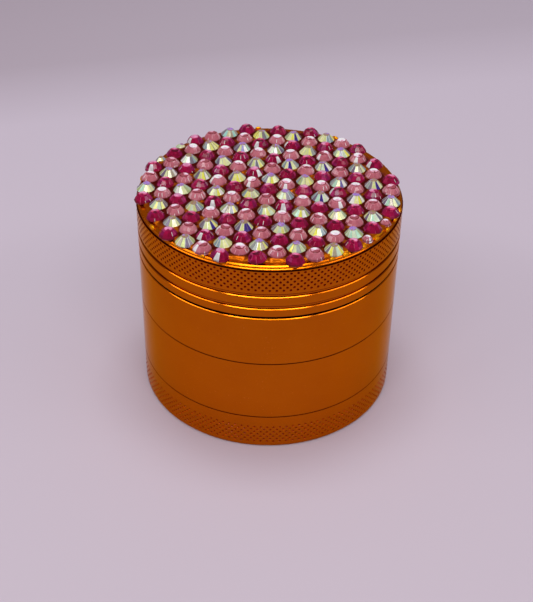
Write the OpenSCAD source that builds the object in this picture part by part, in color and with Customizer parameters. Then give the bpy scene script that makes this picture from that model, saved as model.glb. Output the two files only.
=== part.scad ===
// Four-piece hand grinder for dried herbs, in turned and anodised aluminium.
// From the bottom up: a collecting base, a sieve chamber with a screen, a
// grinding chamber with diamond teeth, and a lid with teeth of its own, held
// down by two magnets. Flat-back crystals are glued to the lid in a
// three-colour honeycomb. Z is the axis of the grinder, and z = 0 is the table.

/* [Body] */
// Outside diameter of all four turned pieces
outer_d = 63; // [59:0.5:72]
// Height of the base's wall, up to the lower seam
base_h = 9.45; // [9:0.05:16]
// Height of the sieve chamber's wall, between the two seams
sieve_h = 16.25; // [14:0.05:26]
// Height of the grinding chamber's wall, from the upper seam to its shoulder
chamber_h = 13.15; // [12:0.05:18]
// Height of the lid, from its lower edge to its top face
lid_h = 13.55; // [13:0.05:18]
// Gap that shows between the lid and the shoulder under it
lid_gap = 0.5; // [0.2:0.05:0.8]
// Rounding of the base's lower edge
foot_round = 0.5; // [0.2:0.05:1]
// Small bevel on both sides of each seam
seam_bevel = 0.12; // [0.05:0.01:0.3]
// Bevel on the edges inside, where the pieces are put together
edge_bevel = 0.3; // [0.15:0.05:0.4]
// Bevel on the grinding chamber's shoulder
shoulder_bevel = 0.3; // [0.2:0.05:0.8]
// Bevel on the lid's lower edge
lid_bevel = 0.2; // [0.1:0.05:0.4]

/* [Lid edge] */
// Height of the lower groove above the lid's lower edge
groove_low = 1.75; // [1.5:0.05:2.6]
// Height from the lower groove to the upper one
groove_step = 3.1; // [2.6:0.05:3.6]
// Depth of both grooves
groove_depth = 0.55; // [0.4:0.05:0.7]
// Height of the flat floor of both grooves
groove_floor = 0.9; // [0.4:0.05:1]
// Bevel on the edge of the ledge under each groove
groove_bevel = 0.4; // [0.2:0.05:0.4]
// Rounding of the lid's top edge
rim_round = 0.85; // [0.4:0.05:1.2]
// Width of the fine line that is cut under the rounded rim
rim_line = 0.3; // [0.2:0.05:0.5]

/* [Screw joints] */
// Wall beside each threaded socket
socket_wall = 2; // [1.5:0.1:3]
// Wall of each threaded spigot
spigot_wall = 2.2; // [1.6:0.1:3]
// Room between spigot and socket, where the thread's flanks run
thread_room = 0.25; // [0.15:0.05:0.4]
// Pitch of both screw threads
thread_pitch = 1.5; // [1:0.25:1.75]
// Turns that it takes to unscrew a joint
thread_turns = 2.5; // [2:0.5:3]
// Plain lead-in at a spigot's end
thread_lead = 0.4; // [0.2:0.1:0.6]
// Gap between a spigot's end and its socket's floor
end_gap = 0.3; // [0.2:0.05:0.6]

/* [Base] */
// Thickness of the base's floor
base_floor = 1.8; // [1.2:0.1:2.2]
// Rounding in the corner of the base's bowl
bowl_round = 2.4; // [1:0.1:3]

/* [Scraper] */
// Width of the three-cornered scraper
scraper_w = 24; // [16:0.5:30]
// Thickness of the scraper
scraper_t = 1; // [0.6:0.1:1.1]
// Radius to which its corners are cut back
scraper_tip = 12.4; // [11:0.1:13]

/* [Sieve] */
// Thickness of the woven screen
screen_t = 0.2; // [0.1:0.05:0.4]
// Height of the ring that clamps the screen
clamp_h = 1.8; // [1:0.1:2]
// Radial width of the clamp ring
clamp_w = 1.7; // [1.2:0.1:2.2]
// How far the clamp ring sits up inside the spigot
clamp_recess = 0.3; // [0.1:0.05:0.5]
// How far the ledge above the screen reaches inwards
ledge_w = 2; // [1.2:0.1:3]
// Height of that ledge
ledge_h = 1.2; // [0.8:0.1:2]

/* [Grinding chamber] */
// Height of the grinding space, from the drilled floor to the lid's ceiling
cup_depth = 16; // [14:0.1:18]
// Thickness of the drilled floor
floor_t = 2.5; // [1.8:0.1:3.5]
// Wall of the collar that rises inside the lid
collar_wall = 2.6; // [2.4:0.1:3.4]
// Diameter of the holes in the floor
drain_d = 3.8; // [2.5:0.1:4]
// Spacing of those holes along each of their rings
drain_spacing = 6.4; // [5:0.1:9]
// Diameter of the centre post, and of the boss above it
post_d = 13; // [12.6:0.1:14]
// Height of the centre post above the floor
post_h = 8.5; // [5:0.1:9]

/* [Teeth] */
// Radial width of a diamond tooth
tooth_w = 3; // [2:0.1:3.2]
// Length of a tooth around its ring
tooth_l = 5; // [3.5:0.1:6]
// Spacing of the teeth along each ring
tooth_spacing = 9; // [7:0.1:12]
// Running gap between one ring of teeth and the next
tooth_gap = 0.7; // [0.5:0.05:1.2]
// Height of the teeth on the grinding chamber's floor
chamber_tooth_h = 11; // [7:0.1:11.5]
// Length of the teeth that hang from the lid
lid_tooth_h = 11.5; // [7:0.1:11.5]
// Turn of each ring of teeth against the ring around it, as a share of their spacing
tooth_stagger = 0.25; // [0:0.05:1]

/* [Lid inside] */
// Thickness of the lid's top plate
plate_t = 3.4; // [2:0.1:3.8]
// Wall of the lid's skirt
skirt_wall = 2.2; // [1.8:0.1:2.6]
// Running gap between the skirt and the collar
skirt_gap = 0.3; // [0.2:0.05:0.5]
// Height of the slip ring that the lid turns on
slip_h = 1.2; // [0.8:0.1:1.5]
// Width of the narrow lip that centres the slip ring
slip_lip = 0.7; // [0.5:0.05:0.9]
// Height of that lip
slip_lip_h = 0.6; // [0.3:0.05:0.7]

/* [Magnets] */
// Diameter of both magnets
magnet_d = 10; // [8:0.1:10.5]
// Height of both magnets
magnet_h = 3; // [2:0.1:4]
// Gap between the faces of the centre post and of the boss
magnet_gap = 0.6; // [0.3:0.05:1]
// Clearance of a part that is set in its seat, on the radius
seat_gap = 0.05; // [0.03:0.01:0.1]

/* [Crystals] */
// Diameter of a crystal
stone_d = 4.4; // [3.6:0.1:4.6]
// Height of a crystal
stone_h = 2.05; // [1.6:0.05:2.4]
// Height of a crystal's upright girdle
girdle_h = 0.45; // [0.2:0.05:0.7]
// Diameter of the flat table on top
table_d = 1.8; // [1.2:0.1:2.2]
// Facets around a crystal's crown
stone_facets = 8; // [6:1:10]
// Distance between neighbouring crystals
stone_pitch = 4.77; // [4.65:0.01:6]
// How far the honeycomb is turned, in degrees
honeycomb_turn = -4.4; // [-30:0.1:30]
// Sideways place of the crystal nearest the middle
middle_x = -0.2; // [-2:0.05:2]
// Front to back place of that crystal
middle_y = -0.45; // [-2:0.05:2]
// How far the outermost crystals' centres lie inside the rim
edge_margin = 1.1; // [0.9:0.05:3]
// Diameter of the little crystals that fill gaps at the edge
small_stone_d = 2.6; // [2:0.1:2.8]
// Height of the little crystals
small_stone_h = 1.2; // [0.9:0.05:1.5]
// How many little crystals there are of each of their two colours
small_count = 2; // [1:1:4]
// Distance inside the rim of the places that suit a little crystal best
small_margin = 0.2; // [0:0.05:0.4]
// Least gap between a little crystal and its neighbours
small_gap = 0.07; // [0.02:0.01:0.1]
// Thickness of the clear glue under the crystals
glue_t = 0.15; // [0.05:0.05:0.3]

/* [Hidden] */
$fn = 96;

outer_r = outer_d / 2;

// Levels, from the table up
lower_seam_z = base_h;
upper_seam_z = lower_seam_z + sieve_h;
shoulder_z = upper_seam_z + chamber_h;
lid_z = shoulder_z + lid_gap;
top_z = lid_z + lid_h;
ceiling_z = top_z - plate_t;
cup_floor_z = ceiling_z - cup_depth;
drain_z = cup_floor_z - floor_t;
post_z = cup_floor_z + post_h;
boss_z = post_z + magnet_gap;
collar_z = ceiling_z - slip_h;
stone_z = top_z + glue_t;

// Screw joints: both have the same spigot and socket
spigot_h = thread_turns * thread_pitch + thread_lead;
socket_r = outer_r - socket_wall;
spigot_r = socket_r - thread_room;
bore_r = spigot_r - spigot_wall;
socket_depth = spigot_h + end_gap;
clamp_z = lower_seam_z - spigot_h + clamp_recess;
screen_z = clamp_z + clamp_h;
ledge_z = screen_z + screen_t;

// Skirt, collar and slip ring
skirt_r = outer_r - skirt_wall;
collar_r = skirt_r - skirt_gap;
cup_r = collar_r - collar_wall;
slip_in_r = cup_r + slip_lip + seat_gap;
slip_out_r = collar_r - seat_gap;
pocket_r = magnet_d / 2 + seat_gap;

// Rings of teeth, counted from the outermost one inwards. Even rings hang
// from the lid and odd rings stand on the floor, so that they mesh.
ring_step = tooth_w + tooth_gap;
function ring_r(k) = cup_r - tooth_gap - tooth_w / 2 - k * ring_step;
ring_count = floor((ring_r(0) - tooth_w / 2 - post_d / 2 - tooth_gap) / ring_step) + 1;
lid_rings = [for (k = [0:2:ring_count - 1]) k];
chamber_rings = [for (k = [1:2:ring_count - 1]) k];
function copies(radius, spacing) = floor(2 * PI * radius / spacing);

// How far a cut runs past both faces of what it cuts
cut = 1;

// Turn of each crystal about its own axis, from one row of the honeycomb to
// the next and from one crystal of a row to the next, so that no two match
row_turn = 137;
crystal_turn = 61;

// Colours
anodised = [0.80, 0.42, 0.03];
steel = [0.72, 0.73, 0.75];
clear = [0.93, 0.90, 0.86, 0.6];
fuchsia = [0.62, 0.05, 0.28];
rose = [0.85, 0.52, 0.56];
aurora = [0.90, 0.92, 0.80];

// Points of an arc, from one angle to the other, both ends included
function arc(centre, radius, from, to, steps = 4) = [
    for (i = [0:steps])
        let (a = from + (to - from) * i / steps)
        centre + radius * [cos(a), sin(a)]
];

// A square groove in the outside wall, from the bevel on its ledge up
function groove(z) = [
    [outer_r, z],
    [outer_r - groove_bevel, z + groove_bevel],
    [outer_r - groove_depth, z + groove_bevel],
    [outer_r - groove_depth, z + groove_bevel + groove_floor],
    [outer_r, z + groove_bevel + groove_floor]
];

// ---------------------------------------------------------------- base

module collection_base() {
    socket_z = lower_seam_z - socket_depth;
    color(anodised)
        rotate_extrude()
            polygon(concat(
                [[0, 0]],
                arc([outer_r - foot_round, foot_round], foot_round, -90, 0),
                [[outer_r, lower_seam_z - seam_bevel],
                 [outer_r - seam_bevel, lower_seam_z],
                 [socket_r + edge_bevel, lower_seam_z],
                 [socket_r, lower_seam_z - edge_bevel],
                 [socket_r, socket_z],
                 [bore_r, socket_z]],
                arc([bore_r - bowl_round, base_floor + bowl_round], bowl_round, 0, -90),
                [[0, base_floor]]
            ));
}

// Loose three-cornered blade, kept in the base
module scraper() {
    color("dimgray")
        translate([0, 0, base_floor])
            intersection() {
                at_corner(0) cylinder(r = scraper_w, h = scraper_t);
                at_corner(120) cylinder(r = scraper_w, h = scraper_t);
                at_corner(240) cylinder(r = scraper_w, h = scraper_t);
                cylinder(r = scraper_tip, h = scraper_t);
            }
}

module at_corner(angle) {
    rotate([0, 0, angle]) translate([scraper_w / sqrt(3), 0, 0]) children();
}

// ---------------------------------------------------------------- sieve

module sieve_chamber() {
    spigot_z = lower_seam_z - spigot_h;
    socket_z = upper_seam_z - socket_depth;
    ledge_r = bore_r - ledge_w;
    color(anodised)
        rotate_extrude()
            polygon([
                [bore_r, spigot_z],
                [spigot_r - edge_bevel, spigot_z],
                [spigot_r, spigot_z + edge_bevel],
                [spigot_r, lower_seam_z],
                [outer_r - seam_bevel, lower_seam_z],
                [outer_r, lower_seam_z + seam_bevel],
                [outer_r, upper_seam_z - seam_bevel],
                [outer_r - seam_bevel, upper_seam_z],
                [socket_r + edge_bevel, upper_seam_z],
                [socket_r, upper_seam_z - edge_bevel],
                [socket_r, socket_z],
                [bore_r, socket_z],
                [bore_r, ledge_z + ledge_h + ledge_w],
                [ledge_r, ledge_z + ledge_h],
                [ledge_r, ledge_z],
                [bore_r, ledge_z]
            ]);
}

module sieve_screen() {
    color(steel)
        translate([0, 0, screen_z])
            cylinder(r = bore_r - seat_gap, h = screen_t);
}

module screen_clamp_ring() {
    color(steel)
        translate([0, 0, clamp_z])
            rotate_extrude()
                translate([bore_r - seat_gap - clamp_w, 0])
                    square([clamp_w, clamp_h]);
}

// ---------------------------------------------------------------- grinding

// One ring of diamond teeth, standing on z = 0
module tooth_ring(k, height) {
    radius = ring_r(k);
    count = copies(radius, tooth_spacing);
    for (i = [0:count - 1])
        rotate([0, 0, (i + k * tooth_stagger) * 360 / count])
            translate([radius, 0, 0])
                linear_extrude(height)
                    polygon([
                        [-tooth_w / 2, 0], [0, -tooth_l / 2],
                        [tooth_w / 2, 0], [0, tooth_l / 2]
                    ]);
}

// Holes through the floor, in rings below the lid's teeth
module drain_holes() {
    for (k = lid_rings)
        let (count = copies(ring_r(k), drain_spacing))
            for (i = [0:count - 1])
                rotate([0, 0, i * 360 / count])
                    translate([ring_r(k), 0, drain_z - cut])
                        cylinder(d = drain_d, h = floor_t + 2 * cut);
}

module grinding_chamber() {
    spigot_z = upper_seam_z - spigot_h;
    post_r = post_d / 2;
    color(anodised)
        difference() {
            rotate_extrude()
                polygon([
                    [0, drain_z],
                    [bore_r, drain_z],
                    [bore_r, spigot_z],
                    [spigot_r - edge_bevel, spigot_z],
                    [spigot_r, spigot_z + edge_bevel],
                    [spigot_r, upper_seam_z],
                    [outer_r - seam_bevel, upper_seam_z],
                    [outer_r, upper_seam_z + seam_bevel],
                    [outer_r, shoulder_z - shoulder_bevel],
                    [outer_r - shoulder_bevel, shoulder_z],
                    [collar_r, shoulder_z],
                    [collar_r, collar_z],
                    [cup_r + slip_lip, collar_z],
                    [cup_r + slip_lip, collar_z + slip_lip_h],
                    [cup_r, collar_z + slip_lip_h],
                    [cup_r, cup_floor_z],
                    [post_r, cup_floor_z],
                    [post_r, post_z - edge_bevel],
                    [post_r - edge_bevel, post_z],
                    [pocket_r, post_z],
                    [pocket_r, post_z - magnet_h],
                    [0, post_z - magnet_h]
                ]);
            drain_holes();
        }
}

module chamber_teeth() {
    color(anodised)
        translate([0, 0, cup_floor_z])
            for (k = chamber_rings) tooth_ring(k, chamber_tooth_h);
}

module chamber_magnet() {
    color(steel)
        translate([0, 0, post_z - magnet_h])
            cylinder(d = magnet_d, h = magnet_h);
}

// Plastic ring on the collar, which the lid turns on
module slip_ring() {
    color("whitesmoke")
        translate([0, 0, collar_z])
            rotate_extrude()
                translate([slip_in_r, 0])
                    square([slip_out_r - slip_in_r, slip_h]);
}

// ---------------------------------------------------------------- lid

module lid() {
    boss_r = post_d / 2;
    color(anodised)
        rotate_extrude()
            polygon(concat(
                [[0, boss_z + magnet_h],
                 [pocket_r, boss_z + magnet_h],
                 [pocket_r, boss_z],
                 [boss_r - edge_bevel, boss_z],
                 [boss_r, boss_z + edge_bevel],
                 [boss_r, ceiling_z],
                 [skirt_r, ceiling_z],
                 [skirt_r, lid_z + edge_bevel],
                 [skirt_r + edge_bevel, lid_z],
                 [outer_r - lid_bevel, lid_z],
                 [outer_r, lid_z + lid_bevel]],
                groove(lid_z + groove_low),
                groove(lid_z + groove_low + groove_step),
                [[outer_r, top_z - rim_round - rim_line],
                 [outer_r - rim_line, top_z - rim_round - rim_line / 2]],
                arc([outer_r - rim_round, top_z - rim_round], rim_round, 0, 90),
                [[0, top_z]]
            ));
}

module lid_teeth() {
    color(anodised)
        translate([0, 0, ceiling_z - lid_tooth_h])
            for (k = lid_rings) tooth_ring(k, lid_tooth_h);
}

module lid_magnet() {
    color(steel)
        translate([0, 0, boss_z])
            cylinder(d = magnet_d, h = magnet_h);
}

// ---------------------------------------------------------------- crystals

// A flat-back crystal: an upright girdle, a ring of facets and a flat table
module crystal(diameter, height) {
    n = stone_facets;
    girdle = girdle_h * height / stone_h;
    table_r = table_d / 2 * diameter / stone_d;
    function ring(radius, z) = [
        for (i = [0:n - 1]) [radius * cos(i * 360 / n), radius * sin(i * 360 / n), z]
    ];
    function band(low) = [
        for (i = [0:n - 1])
            let (j = (i + 1) % n)
            [low + i, low + n + i, low + n + j, low + j]
    ];
    polyhedron(
        points = concat(
            ring(diameter / 2, 0), ring(diameter / 2, girdle), ring(table_r, height)
        ),
        faces = concat(
            [[for (i = [0:n - 1]) i]],
            band(0), band(n),
            [[for (i = [n - 1:-1:0]) 2 * n + i]]
        )
    );
}

// Places of the honeycomb whose colour number is tint: 0, 1 or 2. No two
// neighbours share a colour. Each is [x, y, turn of its crystal].
function places(tint) =
    let (reach = ceil(outer_r / (stone_pitch * sqrt(3) / 2)) + 1)
    [
        for (i = [-reach:reach], j = [-reach:reach])
            let (
                x = middle_x + stone_pitch * i * sqrt(3) / 2,
                y = middle_y + stone_pitch * (j + i / 2)
            )
            if (((i + 2 * j) % 3 + 3) % 3 == tint) [
                x * cos(honeycomb_turn) - y * sin(honeycomb_turn),
                x * sin(honeycomb_turn) + y * cos(honeycomb_turn),
                row_turn * i + crystal_turn * j
            ]
    ];

// How far a place lies inside the rim, and how badly it suits a little crystal
function inside(p) = outer_r - norm([p.x, p.y]);
function misfit(p) = abs(inside(p) - small_margin);

module honeycomb(tint) {
    for (p = places(tint))
        if (inside(p) > edge_margin)
            translate([p.x, p.y, stone_z])
                rotate([0, 0, p.z])
                    crystal(stone_d, stone_h);
}

// Little crystals at the places that suit them best. There a large one would
// hang over the rim, and a little one is moved in as far as its neighbours let it.
module small_stones(tint) {
    free = [for (p = places(tint)) if (inside(p) <= edge_margin) p];
    inset = stone_pitch - (stone_d + small_stone_d) / 2 - small_gap;
    for (p = free)
        if (len([for (q = free) if (misfit(q) < misfit(p)) q]) < small_count)
            rotate([0, 0, atan2(p.y, p.x)])
                translate([norm([p.x, p.y]) - inset, 0, stone_z])
                    crystal(small_stone_d, small_stone_h);
}

module fuchsia_stones() {
    color(fuchsia) honeycomb(0);
}

module rose_stones() {
    color(rose) honeycomb(1);
}

module crystal_stones() {
    color(aurora) honeycomb(2);
}

module small_rose_stones() {
    color(rose) small_stones(1);
}

module small_crystal_stones() {
    color(aurora) small_stones(2);
}

module stone_glue() {
    color(clear)
        translate([0, 0, top_z])
            cylinder(r = outer_r - rim_round, h = glue_t);
}

collection_base();
scraper();
sieve_chamber();
sieve_screen();
screen_clamp_ring();
grinding_chamber();
chamber_teeth();
chamber_magnet();
slip_ring();
lid();
lid_teeth();
lid_magnet();
fuchsia_stones();
rose_stones();
crystal_stones();
small_rose_stones();
small_crystal_stones();
stone_glue();
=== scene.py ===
import math
import random
import bmesh
import bpy
from mathutils import Matrix, Vector


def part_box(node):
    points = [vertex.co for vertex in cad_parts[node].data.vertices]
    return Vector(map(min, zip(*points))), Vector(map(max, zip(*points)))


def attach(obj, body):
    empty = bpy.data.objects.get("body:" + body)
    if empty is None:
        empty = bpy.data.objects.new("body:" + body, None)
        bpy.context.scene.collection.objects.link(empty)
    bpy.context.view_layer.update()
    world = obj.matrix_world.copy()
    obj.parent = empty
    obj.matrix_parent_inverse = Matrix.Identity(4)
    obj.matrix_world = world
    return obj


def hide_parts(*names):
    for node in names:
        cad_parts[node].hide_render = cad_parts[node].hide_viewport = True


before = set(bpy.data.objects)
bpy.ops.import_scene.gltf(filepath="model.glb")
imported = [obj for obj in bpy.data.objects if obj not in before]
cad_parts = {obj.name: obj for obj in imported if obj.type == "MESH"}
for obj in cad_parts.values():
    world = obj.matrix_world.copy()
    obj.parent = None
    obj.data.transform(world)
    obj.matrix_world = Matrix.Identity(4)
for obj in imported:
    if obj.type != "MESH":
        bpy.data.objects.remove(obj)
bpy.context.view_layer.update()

mm = 0.001
turn = 2 * math.pi
scene = bpy.context.scene
hair = 0.01             # millimetres; what lies this near to a place counts as being there
weld = 0.001 * mm       # vertices nearer than this are merged

# everything turned on the lathe shares these sizes, in millimetres
body = {
    "radius": 31.5,
    "steps": 256,          # segments in a full turn
    "threadRoot": 28.85,   # spigots, below the thread
    "socketRoot": 29.9,    # sockets, behind the thread
    "socketDepth": 4.45,
    "bore": 27.05,
    "softEdge": 0.03,      # broken edges left by the deburring tool
    "broad": 0.2,          # from here on, a rounding takes eight segments and not two
    "seam": 0.25,          # bevel under each seam; the edge below it is left square
    "seamLip": 0.5,        # outermost part of a seat, on which the next piece rests
    "foot": 0.8,
}


class Flow:
    # one socket of a node tree; plain numbers may stand on either side of a sum
    def __init__(self, tree, out=None):
        self.tree = tree
        self.out = out

    def node(self, kind, settings=None, inputs=None, output=0):
        made = self.tree.nodes.new(kind)
        for key, value in (settings or {}).items():
            if key == "stops":
                ramp = made.color_ramp
                while len(ramp.elements) < len(value):
                    ramp.elements.new(1.0)
                for stop, (place, shade) in zip(ramp.elements, value):
                    stop.position = place
                    stop.color = (*shade, 1.0)
            elif key == "interpolation":
                made.color_ramp.interpolation = value
            else:
                setattr(made, key, value)
        for key, value in (inputs or {}).items():
            socket = made.inputs[key]
            if isinstance(value, Flow):
                self.tree.links.new(value.out, socket)
            else:
                socket.default_value = value
        return Flow(self.tree, made.outputs[output])

    def calc(self, operation, *values):
        return self.node("ShaderNodeMath", {"operation": operation}, dict(enumerate(values)))

    def __add__(self, other):
        return self.calc("ADD", self, other)

    def __radd__(self, other):
        return self.calc("ADD", other, self)

    def __sub__(self, other):
        return self.calc("SUBTRACT", self, other)

    def __rsub__(self, other):
        return self.calc("SUBTRACT", other, self)

    def __mul__(self, other):
        return self.calc("MULTIPLY", self, other)

    def __rmul__(self, other):
        return self.calc("MULTIPLY", other, self)

    def __truediv__(self, other):
        return self.calc("DIVIDE", self, other)

    def clamped(self):
        return self.calc("MAXIMUM", self.calc("MINIMUM", self, 1.0), 0.0)


def newMaterial(name, settings):
    # a Principled surface; settings holds what is the same all over it
    material = bpy.data.materials.new(name)
    material.use_nodes = True
    surface = material.node_tree.nodes["Principled BSDF"]
    for key, value in settings.items():
        surface.inputs[key].default_value = value
    return material, surface, Flow(material.node_tree)


def feed(surface, flow, **links):
    # links a varying value to a socket of the surface
    for key, value in links.items():
        flow.tree.links.new(value.out, surface.inputs[key.replace("_", " ")])


def placeOf(flow):
    # object coordinates in millimetres
    coordinates = flow.node("ShaderNodeTexCoord", output=3)
    return flow.node("ShaderNodeVectorMath", {"operation": "SCALE"}, {0: coordinates, "Scale": 1 / mm})


def mixColours(flow, share, first, second):
    # each colour is a link or three numbers
    first, second = [c if isinstance(c, Flow) else (*c, 1.0) for c in (first, second)]
    return flow.node("ShaderNodeMix", {"data_type": "RGBA"}, {0: share, 6: first, 7: second}, output=2)


def noise(flow, vector, scale, detail, roughness):
    return flow.node(
        "ShaderNodeTexNoise", None,
        {"Vector": vector, "Scale": scale, "Detail": detail, "Roughness": roughness},
    )


def relief(flow, height, depth, strength):
    # a bump that is depth millimetres high
    inputs = {"Strength": strength, "Distance": depth * mm, "Height": height}
    return flow.node("ShaderNodeBump", None, inputs)


def axesOf(flow, place):
    # x, y and z of a place, each as a value of its own
    split = flow.node("ShaderNodeSeparateXYZ", None, {0: place}).out.node
    return [Flow(flow.tree, out) for out in split.outputs]


def latheRings(flow, place):
    # distance from the axis and height along it, so that tool marks run round the piece
    x, y, z = axesOf(flow, place)
    return flow.node("ShaderNodeCombineXYZ", None, {0: flow.calc("SQRT", x * x + y * y), 2: z})


anodising = {
    # name: colour, its darker clouds, roughness
    "looks": {
        "anodisedOrange": ((0.60, 0.138, 0.0015), (0.50, 0.098, 0.0010), 0.16),
        # painted shade in the knurl's pits
        "anodisedPitShade": ((0.14, 0.003, 0.001), (0.14, 0.003, 0.001), 0.35),
        "anodisedShade": ((0.16, 0.006, 0.002), (0.16, 0.006, 0.002), 0.3),      # deep in the grooves
        "anodisedPalePitShade": ((0.28, 0.030, 0.001), (0.28, 0.030, 0.001), 0.35),  # painted shade in the base's pits, paler than in the lid's
    },
    "glance": (0.95, 0.72, 0.42, 1.0),     # what it reflects at a grazing angle
    "marks": 9.0,                          # tool marks in a millimetre
    "smears": (0.35, 0.35, 0.9),           # of handling, in each direction
    "rubbed": 0.35,                        # how far a rubbed speck pales
}


def makeAnodised(name):
    shade, deep, roughness = anodising["looks"][name]
    material, surface, flow = newMaterial(name, {
        "Metallic": 1.0, "Specular Tint": anodising["glance"], "Coat Weight": 0.03, "Coat Roughness": 0.05,
    })
    place = placeOf(flow)
    fine = noise(flow, latheRings(flow, place), anodising["marks"], 3.0, 0.7)
    broad = noise(flow, place, 0.11, 3.0, 0.55)
    squeezed = flow.node("ShaderNodeMapping", None, {"Vector": place, "Scale": anodising["smears"]})
    smears = noise(flow, squeezed, 1.0, 4.0, 0.6)
    colour = mixColours(flow, (broad * 0.7 + fine * 0.3).clamped(), deep, shade)
    # dust and rubbed specks, a few tenths of a millimetre across
    specks = noise(flow, place, 3.1, 2.0, 0.5)
    worn = ((specks - 0.69) * 14.0).clamped()
    paler = tuple(min(1.0, c * 1.15 + 0.05) for c in shade)
    colour = mixColours(flow, worn * anodising["rubbed"], colour, paler)
    rough = roughness + (fine - 0.5) * 0.10 + (smears - 0.5) * 0.14 + worn * 0.2
    bump = relief(flow, fine, 0.01, 0.10)
    feed(surface, flow, Base_Color=colour, Roughness=rough.clamped(), Normal=bump)
    return material


def addTo(bm, part, *places):
    # joins a finished part to a piece once for each place, and lets go of it
    mesh = bpy.data.meshes.new("part")
    part.to_mesh(mesh)
    part.free()
    for place in places or [(0, 0)]:
        known = set(bm.verts)
        bm.from_mesh(mesh)
        fresh = [v for v in bm.verts if v not in known]
        bmesh.ops.translate(bm, verts=fresh, vec=(place[0] * mm, place[1] * mm, 0))
    bpy.data.meshes.remove(mesh)


def spinWire(bm, corners, closed=False, steps=None, places=()):
    # corners are (radius, height, rounding) in millimetres; the wire is rounded and then turned about Z
    part = bmesh.new()
    points = [part.verts.new((c[0] * mm, 0, c[1] * mm)) for c in corners]
    for pair in zip(points, points[1:] + points[:1] if closed else points[1:]):
        part.edges.new(pair)
    roundings = [c[2] if len(c) > 2 else 0 for c in corners]
    for rounding in sorted(set(roundings) - {0}):
        chosen = [p for p, r in zip(points, roundings) if r == rounding]
        bmesh.ops.bevel(
            part, geom=chosen, offset=rounding * mm, segments=2 if rounding < body["broad"] else 8,
            profile=0.5, affect="VERTICES", material=-1, clamp_overlap=True,
        )
    bmesh.ops.spin(
        part, geom=part.verts[:] + part.edges[:], cent=(0, 0, 0), axis=(0, 0, 1), dvec=(0, 0, 0),
        angle=turn, steps=steps or body["steps"], use_merge=True,
    )
    addTo(bm, part, *places)


thread = {
    "pitch": 1.5,
    "depth": 0.4,
    "foot": 0.42,              # half the ridge's width at the wall, as a share of the pitch
    "crest": 0.1,              # half its width at the top, in millimetres
    "buried": 0.2,             # share of the depth by which its foot lies in the wall
    "runOut": turn / 14,       # over which each end fades
    "steps": 96,               # in one turn
    "spigot": (0.9, 1.7),      # distance of its start from the mouth, and number of turns
    "socket": (3.6, 1.9),
}


def screwThread(bm, radius, crest, start, turns):
    # a ridge that climbs one pitch a turn, with both ends run out into the wall
    half = thread["foot"] * thread["pitch"]
    root = radius + (radius - crest) * thread["buried"]
    part = bmesh.new()
    points = [
        part.verts.new((r * mm, 0, (start + z) * mm))
        for r, z in [(root, -half), (crest, -thread["crest"]), (crest, thread["crest"]), (root, half)]
    ]
    face = part.faces.new(points)
    bmesh.ops.spin(
        part, geom=[face] + face.edges[:] + points, cent=(0, 0, 0), axis=(0, 0, 1),
        angle=turns * turn, dvec=(0, 0, thread["pitch"] * mm / thread["steps"]),
        steps=int(thread["steps"] * turns), use_merge=False,
    )
    for v in part.verts:
        if abs(v.co.xy.length - crest * mm) < hair * mm:
            along = ((v.co.z / mm - start) / thread["pitch"]) * turn
            share = min(1.0, along / thread["runOut"], (turns * turn - along) / thread["runOut"])
            reach = radius + (crest - radius) * max(0.0, share)
            v.co.xy = v.co.xy.normalized() * reach * mm
    addTo(bm, part)


def spigotThread(bm, end):
    start, turns = thread["spigot"]
    screwThread(bm, body["threadRoot"], body["threadRoot"] + thread["depth"], end + start, turns)


def socketThread(bm, top):
    start, turns = thread["socket"]
    screwThread(bm, body["socketRoot"], body["socketRoot"] - thread["depth"], top - start, turns)


knurl = {
    "pits": 128,                # in one row
    "rows": 7,
    "margin": 0.12,             # left between a pit and its field's sides
    "pitWidth": 0.62,
    "pitFloor": 0.42,
    "pitDepth": 0.13,
    "lid": (46.33, 0.742),      # lower edge of a band, and height of its rows
    "base": (1.37, 0.758),
}


def knurlRows(low, row):
    return [(body["radius"], low + row * k) for k in range(knurl["rows"] + 1)]


def cutPits(bm, low, row):
    # every other field of the band becomes a round pit
    bmesh.ops.recalc_face_normals(bm, faces=bm.faces[:])
    columns = 2 * knurl["pits"]
    fields = []
    for face in bm.faces:
        middle = face.calc_center_median()
        line = math.floor((middle.z / mm - low) / row)
        if line not in range(knurl["rows"]) or abs(middle.xy.length / mm - body["radius"]) > hair:
            continue
        column = math.floor(math.atan2(middle.y, middle.x) % turn / turn * columns)
        if (line + column) % 2 == 0:
            fields.append(face)
    bmesh.ops.inset_individual(bm, faces=fields, thickness=knurl["margin"] * mm, depth=0)
    sides = list(dict.fromkeys(e for f in fields for e in f.edges))
    bmesh.ops.subdivide_edges(bm, edges=sides, cuts=1)
    for face in fields:
        middle, normal = face.calc_center_median(), face.normal.copy()
        for v in face.verts:
            arm = v.co - middle
            arm -= normal * arm.dot(normal)
            v.co = middle + arm.normalized() * knurl["pitWidth"] / 2 * mm
    wall = (knurl["pitWidth"] - knurl["pitFloor"]) / 2
    known = set(bm.faces)
    bmesh.ops.inset_individual(bm, faces=fields, thickness=wall * mm, depth=-knurl["pitDepth"] * mm)
    # the pits take the second material, a painted shade
    for face in fields + [f for f in bm.faces if f not in known]:
        face.material_index = 1


def shadeBand(bm, near, far, low, high):
    # faces between two radii and two heights, which lie so deep that they only mirror each other,
    # take the third material; the first is the surface and the second the pits
    for face in bm.faces:
        middle = face.calc_center_median() / mm
        if low < middle.z < high and near < middle.xy.length < far:
            face.material_index = 2


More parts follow.
